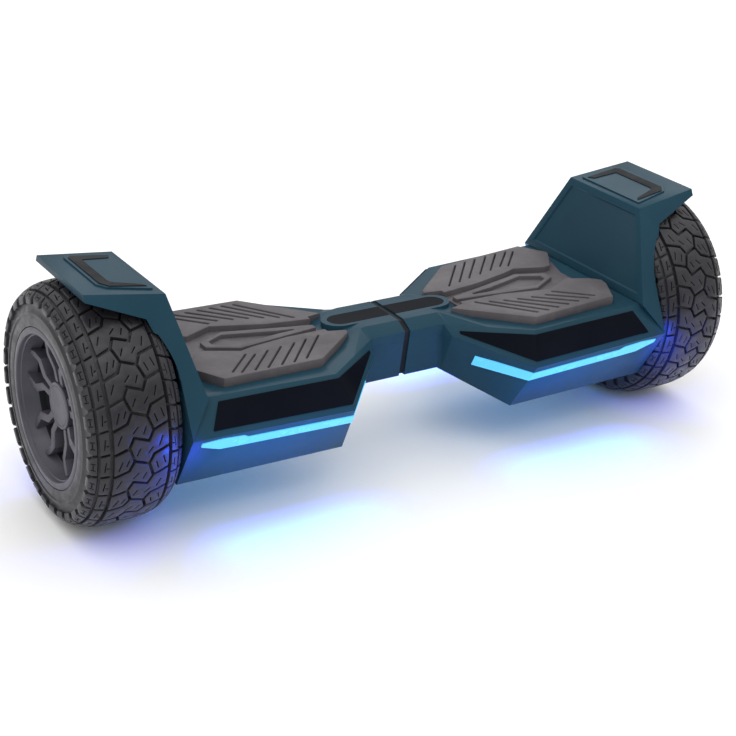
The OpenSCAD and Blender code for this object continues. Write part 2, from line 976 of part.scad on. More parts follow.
module main_board() {
    z = floor_z + floor_t;
    sink_h = 10;
    color(board_colour) {
        translate([board_x + 10, -30, z])
            cube([board_size.x - 20, 60, sink_h]);
        translate([board_x, -board_size.y / 2, z + sink_h])
            cube(board_size);
        for (i = [0 : 5])
            translate([board_x + 16 + 14 * i, -22, z + sink_h + board_size.z])
                cube([10, 4.6, 15]);
        for (i = [0 : 1])
            translate([board_x + 24 + 34 * i, 12, z + sink_h + board_size.z])
                cylinder(d = 16, h = 24);
    }
}

module sensor_board() {
    color(board_colour)
        on_deck()
            translate([54, 0, -pocket_depth - tray_t]) {
                translate([-sensor_size.x / 2, -sensor_size.y / 2, -sensor_drop])
                    cube(sensor_size);
                for (x = [-28, 28])
                    translate([x, 0, -sensor_drop + sensor_size.z])
                        cylinder(d = 7, h = sensor_drop - sensor_size.z);
            }
}

// Motor lead: a round tube along a row of points
lead_r = 3;
lead_sides = 10;
lead_y = 40.2;
lead_z = -30;
lead_start = wheel_mid + cover_x + bearing_w;
right_lead = [
    [lead_start, 0, 0], [axle_in - 2, 0, 0], [axle_in - 10, 4, -2], [axle_in - 18, 16, -11],
    [axle_in - 27, 32, -25], [axle_in - 38, lead_y, lead_z], [160, lead_y, lead_z],
    [150, lead_y, -34.3], [142, lead_y, -34.3]
];
left_lead = [[lead_start, 0, 0], [-shaft_len, 0, 0]];

module lead(points) {
    n = len(points);
    loft([
        for (i = [0 : n - 1])
            let (
                ahead = unit(points[min(i + 1, n - 1)] - points[max(i - 1, 0)]),
                side = unit(cross([0, 0, 1], ahead)),
                up = cross(ahead, side)
            )
            [
                for (k = [0 : lead_sides - 1])
                    let (a = -k * 360 / lead_sides)
                    points[i] - lead_r * (cos(a) * side + sin(a) * up)
            ]
    ]);
}

module motor_cable(points) {
    color("#15161a")
        lead(points);
}

// -------------------------------------------------------------- controls

module power_button() {
    color(gloss_colour)
        on_lower_face(button_x) {
            translate([0, 0, -shell_t - 3])
                cylinder(d = button_d, h = shell_t + 3 + button_travel);
            translate([0, 0, -shell_t - 5])
                cylinder(d = button_d - 6, h = 2.5);
        }
}

module charge_socket() {
    outer = socket_bore_d / 2 + 2.5;
    color(gloss_colour)
        on_lower_face(socket_x)
            difference() {
                union() {
                    translate([0, 0, -socket_depth - 2])
                        cylinder(r = outer, h = socket_depth + 2);
                    translate([0, 0, -shell_t - 2])
                        cylinder(r = outer + 2, h = 1.9);
                }
                translate([0, 0, -socket_depth])
                    cylinder(d = socket_bore_d, h = socket_depth + 1);
            }
}

module charge_cap() {
    color(gloss_colour)
        on_lower_face(socket_x) {
            translate([0, 0, body_gap])
                cylinder(r = flap_r, h = flap_t);
            translate([-hinge_half, -flap_r - 1, body_gap])
                cube([2 * hinge_half, 5, flap_t]);
            translate([-hinge_half, -flap_r - 1, body_gap + flap_t / 2])
                rotate([0, 90, 0])
                    cylinder(d = flap_t, h = 2 * hinge_half);
        }
}

// ----------------------------------------------------------------- build

left_side() chassis(pivot_r + eps);  // left_chassis
left_side() upper_shell(true);  // left_upper_shell
left_side() lower_shell(true);  // left_lower_shell
left_side() wheel_guard();  // left_wheel_guard
left_side() mirror([0, 1, 0]) face_panel();  // left_front_panel
left_side() face_panel();  // left_rear_panel
left_side() mirror([0, 1, 0]) face_light();  // left_front_light
left_side() face_light();  // left_rear_light
left_side() led_boards();  // left_led_boards
left_side() deck_inlay();  // left_deck_inlay
left_side() guard_inlay();  // left_guard_inlay
left_side() sensor_board();  // left_sensor_board
left_side() axle_clamp();  // left_axle_clamp
left_side() clamp_bolts();  // left_clamp_bolts
left_side() shell_screws();  // left_shell_screws
left_side() axle();  // left_axle
left_side() stator();  // left_stator
left_side() motor_cable(left_lead);  // left_motor_cable
left_side() tyre();  // left_tyre
left_side() rim();  // left_rim
left_side() hub_cap();  // left_hub_cap
left_side() motor_cover();  // left_motor_cover
left_side() magnets();  // left_magnets
left_side() wheel_bearings();  // left_wheel_bearings
right_side() rotate(180) foot_pad();  // left_foot_pad
right_side() chassis(bush_r);  // right_chassis
right_side() upper_shell();  // right_upper_shell
right_side() lower_shell();  // right_lower_shell
right_side() wheel_guard();  // right_wheel_guard
right_side() mirror([0, 1, 0]) face_panel();  // right_front_panel
right_side() face_panel();  // right_rear_panel
right_side() mirror([0, 1, 0]) face_light();  // right_front_light
right_side() face_light();  // right_rear_light
right_side() led_boards();  // right_led_boards
right_side() deck_inlay();  // right_deck_inlay
right_side() guard_inlay();  // right_guard_inlay
right_side() sensor_board();  // right_sensor_board
right_side() axle_clamp();  // right_axle_clamp
right_side() clamp_bolts();  // right_clamp_bolts
right_side() shell_screws();  // right_shell_screws
right_side() axle();  // right_axle
right_side() stator();  // right_stator
right_side() motor_cable(right_lead);  // right_motor_cable
right_side() tyre();  // right_tyre
right_side() rim();  // right_rim
right_side() hub_cap();  // right_hub_cap
right_side() motor_cover();  // right_motor_cover
right_side() magnets();  // right_magnets
right_side() wheel_bearings();  // right_wheel_bearings
right_side() foot_pad();  // right_foot_pad
right_side() pivot_shaft();
right_side() pivot_bushes();
right_side() pivot_retainer();
right_side() centre_gasket();
left_side() battery_pack();
right_side() main_board();
left_side() power_button();
left_side() charge_socket();
left_side() charge_cap();
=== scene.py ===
"""Looks of a self-balancing two-wheeled board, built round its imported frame.

Places come from the frame's own boxes. Sizes in the classes are millimetres,
angles are degrees, and every mesh is made in metres in the frame's own axes:
X runs along the wheels' line, -Y is the front and Z is up from the floor.
"""

import sys
import json
import logging
import math
from dataclasses import dataclass, field
from enum import Enum
from typing import Callable, Iterable, Sequence

import bmesh
import bpy
from bmesh.types import BMEdge, BMesh, BMVert
from mathutils import Matrix, Vector


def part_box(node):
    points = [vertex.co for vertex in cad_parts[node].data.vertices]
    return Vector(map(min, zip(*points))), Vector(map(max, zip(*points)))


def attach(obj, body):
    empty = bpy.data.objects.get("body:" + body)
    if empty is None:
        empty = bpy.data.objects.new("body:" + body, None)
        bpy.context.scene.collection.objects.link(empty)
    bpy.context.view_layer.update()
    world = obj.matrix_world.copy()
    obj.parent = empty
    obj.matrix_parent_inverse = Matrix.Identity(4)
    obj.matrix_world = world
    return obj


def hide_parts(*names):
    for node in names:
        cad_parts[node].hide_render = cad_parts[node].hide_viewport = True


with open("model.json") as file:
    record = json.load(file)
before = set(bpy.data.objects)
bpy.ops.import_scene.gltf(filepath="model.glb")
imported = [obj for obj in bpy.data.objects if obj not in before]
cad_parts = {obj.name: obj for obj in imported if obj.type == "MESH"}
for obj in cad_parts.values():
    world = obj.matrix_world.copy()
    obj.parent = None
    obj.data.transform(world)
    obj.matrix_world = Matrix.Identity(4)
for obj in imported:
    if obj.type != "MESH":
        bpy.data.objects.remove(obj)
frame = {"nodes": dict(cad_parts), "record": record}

LOG = logging.getLogger("board")

MM = 0.001                # one millimetre, in metres
NODE_WELD = 0.02 * MM     # vertices of a node closer than this are one
SPIN_WELD = 0.002 * MM    # vertices of a revolve closer than this are one
FLAT_BEND = 0.6           # faces that bend less than this, in degrees, are joined
CORNER_BEND = 0.6         # edges of a block that bend more than this, in radians, are rounded

# A Mix node keeps a set of sockets for each kind of value, under the same names.
MIX_NUMBERS = (2, 3)
MIX_COLOURS = (6, 7)
MIX_COLOUR_RESULT = 2

Point = tuple[float, float]
Colour = tuple[float, float, float]


class Side(Enum):
    """One of the two halves, with its sign along X."""

    LEFT = -1
    RIGHT = 1

    @property
    def label(self) -> str:
        """The half's name as the nodes spell it."""
        return self.name.lower()


class Axis(Enum):
    """The axis that a finish's grain runs along, as the scale of its coordinates."""

    NONE = (1.0, 1.0, 1.0)
    X = (0.06, 1.0, 1.0)


# ------------------------------------------------------------------ finishes


class Graph:
    """A material's node tree, with short calls for the nodes the finishes use."""

    def __init__(self, name: str) -> None:
        """Starts a material with one shader and its output.

        Args:
            name: The material's name.
        """
        self.material = bpy.data.materials.new(name)
        self.material.use_nodes = True
        self.tree = self.material.node_tree
        self.tree.nodes.clear()
        output = self.tree.nodes.new("ShaderNodeOutputMaterial")
        self.shader = self.tree.nodes.new("ShaderNodeBsdfPrincipled")
        self.link(self.shader.outputs["BSDF"], output.inputs["Surface"])
        self.place = self.tree.nodes.new("ShaderNodeTexCoord").outputs["Object"]

    def link(self, source: bpy.types.NodeSocket, target: bpy.types.NodeSocket) -> None:
        """Joins two sockets."""
        self.tree.links.new(source, target)

    def set(self, **values: float | Colour) -> None:
        """Sets the shader's own sockets.

        Args:
            values: Value by socket name, with underscores for spaces.
        """
        for key, value in values.items():
            socket = self.shader.inputs[key.replace("_", " ")]
            socket.default_value = (*value, 1.0) if isinstance(value, tuple) else value

    def stretched(self, scale: Sequence[float]) -> bpy.types.NodeSocket:
        """The object's coordinates, scaled by axis.

        Args:
            scale: The scale along X, Y and Z.

        Returns:
            The vector socket.
        """
        node = self.tree.nodes.new("ShaderNodeMapping")
        node.inputs["Scale"].default_value = tuple(scale)
        self.link(self.place, node.inputs["Vector"])
        return node.outputs["Vector"]

    def noise(self, scale: float, detail: float = 3.0, rough: float = 0.55,
              vector: bpy.types.NodeSocket | None = None) -> bpy.types.NodeSocket:
        """A noise field.

        Args:
            scale: Features a metre.
            detail: Octaves.
            rough: How strong the finer octaves are.
            vector: Coordinates, or None for the object's.

        Returns:
            The field's socket, from 0 to 1.
        """
        node = self.tree.nodes.new("ShaderNodeTexNoise")
        node.inputs["Scale"].default_value = scale
        node.inputs["Detail"].default_value = detail
        node.inputs["Roughness"].default_value = rough
        self.link(vector or self.place, node.inputs["Vector"])
        return node.outputs["Fac"]

    def cells(self, scale: float, vector: bpy.types.NodeSocket | None = None) -> bpy.types.NodeSocket:
        """The distance to the nearest of a scatter of points.

        Args:
            scale: Points a metre.
            vector: Coordinates, or None for the object's.

        Returns:
            The distance's socket.
        """
        node = self.tree.nodes.new("ShaderNodeTexVoronoi")
        node.inputs["Scale"].default_value = scale
        self.link(vector or self.place, node.inputs["Vector"])
        return node.outputs["Distance"]

    def bands(self, source: bpy.types.NodeSocket, low: float, high: float,
              out_low: float, out_high: float) -> bpy.types.NodeSocket:
        """Maps a range of a field onto another, and clamps it.

        Args:
            source: The field.
            low: Its value that gives out_low.
            high: Its value that gives out_high.
            out_low: The lower result.
            out_high: The upper result.

        Returns:
            The mapped socket.
        """
        node = self.tree.nodes.new("ShaderNodeMapRange")
        node.clamp = True
        self.link(source, node.inputs["Value"])
        for key, value in zip(("From Min", "From Max", "To Min", "To Max"), (low, high, out_low, out_high)):
            node.inputs[key].default_value = value
        return node.outputs["Result"]

    def mixed(self, factor: bpy.types.NodeSocket, first: Colour | bpy.types.NodeSocket,
              second: Colour | bpy.types.NodeSocket) -> bpy.types.NodeSocket:
        """A blend of two colours.

        Args:
            factor: 0 for the first colour, 1 for the second.
            first: A colour or a colour socket.
            second: A colour or a colour socket.

        Returns:
            The colour socket.
        """
        node = self.tree.nodes.new("ShaderNodeMix")
        node.data_type = "RGBA"
        self.link(factor, node.inputs["Factor"])
        for index, value in zip(MIX_COLOURS, (first, second)):
            if isinstance(value, bpy.types.NodeSocket):
                self.link(value, node.inputs[index])
            else:
                node.inputs[index].default_value = (*value, 1.0)
        return node.outputs[MIX_COLOUR_RESULT]

    def relief(self, layers: Sequence[tuple[bpy.types.NodeSocket, float, float]]) -> None:
        """Stacks bump layers onto the shader's normal.

        Args:
            layers: Height field, strength and depth in metres of each.
        """
        last = None
        for field_socket, strength, depth in layers:
            node = self.tree.nodes.new("ShaderNodeBump")
            node.inputs["Strength"].default_value = strength
            node.inputs["Distance"].default_value = depth
            self.link(field_socket, node.inputs["Height"])
            if last is not None:
                self.link(last, node.inputs["Normal"])
            last = node.outputs["Normal"]
        self.link(last, self.shader.inputs["Normal"])


@dataclass(frozen=True)
class Finish:
    """A moulded or cast surface with broad tone changes and a fine grain.

    The grain and the tone are in features a metre, and the grain's depth is in metres.
    """

    slot: str
    colour: Colour
    shade: Colour
    rough: float = 0.45
    rough_spread: float = 0.08
    metallic: float = 0.0
    ior: float = 1.45
    specular: float = 0.5
    grain: float = 1800.0
    grain_depth: float = 0.00004
    tone: float = 14.0
    run: Axis = Axis.NONE

    def graph(self) -> Graph:
        """The node tree with the tone, the roughness and the grain.

        Returns:
            The graph, for a kind of finish to add to.
        """
        graph = Graph(self.slot)
        grain_place = graph.stretched(self.run.value)
        tone = graph.bands(graph.noise(self.tone, 4.0), 0.35, 0.65, 0.0, 1.0)
        graph.link(graph.mixed(tone, self.colour, self.shade), graph.shader.inputs["Base Color"])
        smudge = graph.noise(self.tone * 4.3, 5.0, 0.6)
        rough = graph.bands(smudge, 0.3, 0.7, self.rough - self.rough_spread, self.rough + self.rough_spread)
        graph.link(rough, graph.shader.inputs["Roughness"])
        graph.set(Metallic=self.metallic, IOR=self.ior, Specular_IOR_Level=self.specular)
        graph.relief([
            (graph.noise(self.grain, 2.0, 0.5, grain_place), 0.5, self.grain_depth),
            (graph.noise(self.grain * 0.12, 3.0, 0.5, grain_place), 0.35, self.grain_depth * 2.5),
        ])
        return graph

    def material(self) -> bpy.types.Material:
        """The finished material."""
        return self.graph().material


@dataclass(frozen=True)
class PaintFinish(Finish):
    """Satin paint with fine metal flakes that catch the light."""

    flake: Colour = (0.12, 0.24, 0.30)
    flakes_a_metre: float = 2600.0
    flake_share: float = 0.34

    def material(self) -> bpy.types.Material:
        """Scatters the flakes over the paint.

        Returns:
            The finished material.
        """
        graph = self.graph()
        base = graph.shader.inputs["Base Color"].links[0].from_socket
        flakes = graph.bands(graph.cells(self.flakes_a_metre), 0.12, 0.26, self.flake_share, 0.0)
        graph.link(graph.mixed(flakes, base, self.flake), graph.shader.inputs["Base Color"])
        return graph.material


@dataclass(frozen=True)
class DustyFinish(Finish):
    """Rubber with a dry bloom on it."""

    bloom: Colour = (0.12, 0.11, 0.12)
    bloom_share: float = 0.3
    patches: float = 55.0

    def material(self) -> bpy.types.Material:
        """Lays the bloom over the rubber in patches.

        Returns:
            The finished material.
        """
        graph = self.graph()
        base = graph.shader.inputs["Base Color"].links[0].from_socket
        dust = graph.bands(graph.noise(self.patches, 6.0, 0.7), 0.5, 0.72, 0.0, self.bloom_share)
        graph.link(graph.mixed(dust, base, self.bloom), graph.shader.inputs["Base Color"])
        graph.set(Sheen_Weight=0.05, Sheen_Roughness=0.5)
        return graph.material


@dataclass(frozen=True)
class LitFinish(Finish):
    """A light guide lit from behind, a little uneven over its diodes."""

    glow: Colour = (0.10, 0.55, 1.0)
    strength: float = 1.0
    hot_spot: float = 1.06
    diodes: float = 60.0

    def material(self) -> bpy.types.Material:
        """Lights the guide, a little brighter over each diode.

        Returns:
            The finished material.
        """
        graph = self.graph()
        spots = graph.bands(graph.noise(self.diodes, 1.0), 0.3, 0.7, 0.0, 1.0)
        bright = tuple(min(1.0, self.hot_spot * c) for c in self.glow)
        graph.link(graph.mixed(spots, self.glow, bright), graph.shader.inputs["Emission Color"])
        graph.set(Emission_Strength=self.strength)
        return graph.material


@dataclass(frozen=True)
class BoardFinish(Finish):
    """A circuit board: lacquer over copper tracks laid on a grid."""

    track: Colour = (0.05, 0.16, 0.07)
    track_grid: float = 130.0
    track_width: float = 0.06

    def material(self) -> bpy.types.Material:
        """Lays the tracks over the board.

        Returns:
            The finished material.
        """
        graph = self.graph()
        brick = graph.tree.nodes.new("ShaderNodeTexBrick")
        brick.inputs["Scale"].default_value = self.track_grid
        brick.inputs["Mortar Size"].default_value = self.track_width
        for key, colour in (("Color1", self.colour), ("Color2", self.shade), ("Mortar", self.track)):
            brick.inputs[key].default_value = (*colour, 1.0)
        graph.link(graph.place, brick.inputs["Vector"])
        graph.link(brick.outputs["Color"], graph.shader.inputs["Base Color"])
        return graph.material


FINISHES: tuple[Finish, ...] = (
    PaintFinish("teal_shell", (0.016, 0.052, 0.078), (0.012, 0.042, 0.064), rough=0.34, rough_spread=0.04,
                specular=0.09, grain=2400.0, grain_depth=0.00002, tone=6.0, flake=(0.05, 0.13, 0.17)),
    Finish("gloss_black", (0.0045, 0.0055, 0.009), (0.006, 0.007, 0.011), rough=0.16, rough_spread=0.05,
           ior=1.3, specular=0.03, grain=600.0, grain_depth=0.000006),
    Finish("matte_black", (0.012, 0.013, 0.016), (0.020, 0.021, 0.024), rough=0.5, specular=0.07),
    LitFinish("light_blue", (0.02, 0.10, 0.2), (0.03, 0.12, 0.22), rough=0.25),
    DustyFinish("pad_rubber", (0.100, 0.092, 0.100), (0.066, 0.060, 0.067), rough=0.62, specular=0.35, grain=1500.0,
                grain_depth=0.00009, tone=10.0, bloom=(0.17, 0.155, 0.16)),
    DustyFinish("tyre_rubber", (0.015, 0.0145, 0.018), (0.024, 0.023, 0.028), rough=0.40, rough_spread=0.14,
                specular=0.42, grain=1100.0, grain_depth=0.00010, tone=22.0, bloom=(0.060, 0.056, 0.064),
                bloom_share=0.12),
    Finish("rim_grey", (0.082, 0.078, 0.096), (0.066, 0.063, 0.080), rough=0.40, metallic=0.25, specular=0.4,
           grain=1600.0, grain_depth=0.00003),
    Finish("cast_alloy", (0.42, 0.43, 0.44), (0.33, 0.34, 0.36), rough=0.48, metallic=0.9, grain=900.0,
           grain_depth=0.00009),
    Finish("steel", (0.55, 0.55, 0.56), (0.44, 0.44, 0.46), rough=0.28, metallic=1.0, grain=2200.0, run=Axis.X),
    Finish("dark_steel", (0.10, 0.10, 0.11), (0.15, 0.15, 0.16), rough=0.38, metallic=1.0, grain=2200.0),
    Finish("bronze", (0.42, 0.26, 0.10), (0.34, 0.20, 0.08), rough=0.36, metallic=1.0, grain=2000.0, run=Axis.X),
    Finish("motor_core", (0.50, 0.20, 0.08), (0.30, 0.12, 0.05), rough=0.38, metallic=0.8, grain=900.0,
           grain_depth=0.0002, run=Axis.X),
    BoardFinish("circuit_board", (0.012, 0.085, 0.035), (0.010, 0.070, 0.030), rough=0.34),
    Finish("battery_wrap", (0.020, 0.055, 0.28), (0.015, 0.045, 0.22), rough=0.26, grain=260.0,
           grain_depth=0.0003),
    Finish("cable_black", (0.014, 0.014, 0.015), (0.020, 0.020, 0.022), rough=0.5, grain=2600.0, run=Axis.X),
)


class Paintbox:
    """Makes each finish's material once and hands it out by slot."""

    def __init__(self, finishes: Iterable[Finish]) -> None:
        """Builds every material.

        Args:
            finishes: The finishes, one for each slot.
        """
        self.materials = {finish.slot: finish.material() for finish in finishes}

    def dress(self, obj: bpy.types.Object, slot: str) -> None:
        """Gives a piece the one material made for its slot.

        Args:
            obj: The piece.
            slot: The record's slot.
        """
        obj.data.materials.clear()
        obj.data.materials.append(self.materials[slot])

    def dress_nodes(self) -> None:
        """Repaints every carried-over node with its own slot's finish."""
        for name, obj in frame["nodes"].items():
            paint = self.materials[NODE_SLOTS[name]]
            if not obj.data.materials:
                obj.data.materials.append(paint)
            for index in range(len(obj.data.materials)):
                obj.data.materials[index] = paint


def packed_slots() -> dict[str, str]:
    """Each node's slot, as the record lists them.

    Returns:
        Slot by node name.
    """
    return {entry["node"]: entry["material_slot"] for entry in frame["record"]["subparts"]}


NODE_SLOTS = packed_slots()


# -------------------------------------------------------------- mesh helpers


def add_piece(name: str, bm: BMesh, body: str, slot: str, paints: Paintbox, stands_for: Sequence[str] = (),
              crease: float = 34.0) -> bpy.types.Object:
    """Turns a bmesh into a piece that rides on a body.

    Args:
        name: The piece's name.
        bm: Its mesh, which is freed.
        body: The body that it rides on.
        slot: The record's slot for its finish.
        paints: Where the finish comes from.
        stands_for: The nodes that it replaces.
        crease: Edges sharper than this stay crisp.

    Returns:
        The piece.
    """
    mesh = bpy.data.meshes.new(name)
    bm.to_mesh(mesh)
    bm.free()
    mesh.shade_smooth()
    mesh.set_sharp_from_angle(angle=math.radians(crease))
    obj = bpy.data.objects.new(name, mesh)
    bpy.context.scene.collection.objects.link(obj)
    paints.dress(obj, slot)
    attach(obj, body)
    if stands_for:
        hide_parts(*stands_for)
    LOG.info("%s: %d faces on %s", name, len(mesh.polygons), body)
    return obj


def merged_copy(node: str) -> BMesh:
    """A node's mesh with its loose triangles joined into flat faces.

    Args:
        node: The node's name.

    Returns:
        A new bmesh.
    """
    bm = bmesh.new()
    bm.from_mesh(frame["nodes"][node].data)
    bmesh.ops.remove_doubles(bm, verts=bm.verts, dist=NODE_WELD)
    bmesh.ops.dissolve_limit(bm, angle_limit=math.radians(FLAT_BEND), verts=bm.verts, edges=bm.edges,
                             use_dissolve_boundaries=False, delimit=set())
    return bm


def sharp_edges(bm: BMesh, angle: float, keep: Callable[[BMEdge], bool] = lambda edge: True) -> list[BMEdge]:
    """The edges that bend by more than an angle.

    Args:
        bm: The mesh.
        angle: The least bend, in degrees.
        keep: A further test.

    Returns:
        The edges.
    """
    limit = math.radians(angle)
    return [e for e in bm.edges if e.is_manifold and e.calc_face_angle(0.0) > limit and keep(e)]


def round_edges(bm: BMesh, edges: list[BMEdge], radius: float, segments: int = 2) -> None:
    """Rounds edges.

    Args:
        bm: The mesh.
        edges: The edges to round.
        radius: The rounding, in millimetres.
        segments: How many facets across it.
    """
    bmesh.ops.bevel(bm, geom=edges, offset=radius * MM, offset_type="OFFSET", affect="EDGES", segments=segments,
                    profile=0.5, material=-1, clamp_overlap=True, loop_slide=True)


def mirrored(bm: BMesh, side: Side) -> None:
    """Turns a right-hand mesh into the side's own, with its faces outwards.

    Args:
        bm: The mesh.
        side: The half that it is for.
    """
    if side is Side.LEFT:
        bmesh.ops.scale(bm, vec=(-1.0, 1.0, 1.0), verts=bm.verts)
        bmesh.ops.reverse_faces(bm, faces=bm.faces)


def spun(bm: BMesh, profile: Sequence[Point], centre: Vector, steps: int) -> list[BMVert]:
    """Revolves a closed profile about a line along X.

    Args:
        bm: The mesh to add to.
        profile: Place along X from the centre, and radius, in millimetres.
        centre: The middle of the revolve, in metres.
        steps: Facets round it.

    Returns:
        The new vertices.
    """
    old = set(bm.verts)
    loop = [bm.verts.new((centre.x + v * MM, centre.y, centre.z + r * MM)) for v, r in profile]
    edges = [bm.edges.new((loop[i], loop[(i + 1) % len(loop)])) for i in range(len(loop))]
    bmesh.ops.spin(bm, geom=loop + edges, cent=centre, axis=(1.0, 0.0, 0.0), dvec=(0.0, 0.0, 0.0),
                   angle=math.tau, steps=steps, use_merge=True, use_duplicate=False)
    fresh = [v for v in bm.verts if v not in old]
    bmesh.ops.remove_doubles(bm, verts=fresh, dist=SPIN_WELD)
    faces = list({f for v in bm.verts if v not in old for f in v.link_faces})
    bmesh.ops.recalc_face_normals(bm, faces=faces)
    return [v for v in bm.verts if v not in old]


def take_in(bm: BMesh, part: BMesh) -> list[BMVert]:
    """Moves one mesh into another.

    Args:
        bm: The mesh to add to.
        part: The mesh to add, which is freed.

    Returns:
        The vertices that were added.
    """
    mesh = bpy.data.meshes.new("part")
    part.to_mesh(mesh)
    part.free()
    old = set(bm.verts)
    bm.from_mesh(mesh)
    bpy.data.meshes.remove(mesh)
    return [v for v in bm.verts if v not in old]


def raised_shape(bm: BMesh, outline: Sequence[Point], low: float, high: float, rounding: float,
                 holes: Sequence[Sequence[Point]] = ()) -> list[BMVert]:
    """A flat-topped block over an outline, with holes through it and rounded upper edges.

    Args:
        bm: The mesh to add to.
        outline: The block's plan, in millimetres.
        low: Its underside, in millimetres.
        high: Its top, in millimetres.
        rounding: The rounding of its upper edges, in millimetres.
        holes: Plans of the holes.

    Returns:
        The block's vertices, still in the plan's own axes, in millimetres.
    """
    part = bmesh.new()
    edges = []
    for loop in (outline, *holes):
        ring = [part.verts.new((x, y, low)) for x, y in loop]
        edges += [part.edges.new((ring[i], ring[(i + 1) % len(ring)])) for i in range(len(ring))]
    bmesh.ops.triangle_fill(part, use_beauty=True, use_dissolve=False, edges=edges, normal=(0.0, 0.0, 1.0))
    lifted = bmesh.ops.extrude_face_region(part, geom=list(part.faces))["geom"]
    bmesh.ops.translate(part, vec=(0.0, 0.0, high - low), verts=[g for g in lifted if isinstance(g, BMVert)])
    bmesh.ops.recalc_face_normals(part, faces=part.faces)
    rims = [e for e in part.edges if e.is_manifold and e.calc_face_angle(0.0) > CORNER_BEND
            and min(v.co.z for v in e.verts) > high - 1e-6]
    if rounding > 0:
        bmesh.ops.bevel(part, geom=rims, offset=rounding, offset_type="OFFSET", affect="EDGES", segments=2,
                        profile=0.5, material=-1, clamp_overlap=True, loop_slide=True)
    return take_in(bm, part)


def slot_plan(start: Point, end: Point, width: float) -> list[Point]:
    """The plan of a straight slot with chamfered ends.

    Args:
        start: One end of its middle line.
        end: The other end.
        width: Its width.

    Returns:
        Its corners in order.
    """
    a, b = Vector(start), Vector(end)
    along = (b - a).normalized() * width / 2
    side = Vector((-along.y, along.x))
    corners = (a - side * 0.4 - along, a - side - along * 0.2, b - side + along * 0.2, b - side * 0.4 + along,
               b + side * 0.4 + along, b + side + along * 0.2, a + side - along * 0.2, a + side * 0.4 - along)
    return [(p.x, p.y) for p in corners]


def shrunk(outline: Sequence[Point], by: float) -> list[Point]:
    """An outline moved inwards on every side.

    Args:
        outline: Corners in order, anticlockwise.
        by: How far each side moves.

    Returns:
        The new corners.
    """
    made = []
    for i, here in enumerate(outline):
        p = Vector(here)
        before = (p - Vector(outline[i - 1])).normalized()
        after = (Vector(outline[(i + 1) % len(outline)]) - p).normalized()
        normal = Vector((-before.y - after.y, before.x + after.x))
        normal.normalize()
        reach = by / max(0.35, abs(normal.dot(Vector((-before.y, before.x)))))
        made.append((p.x + normal.x * reach, p.y + normal.y * reach))
    return made


# -------------------------------------------------------------------- wheels


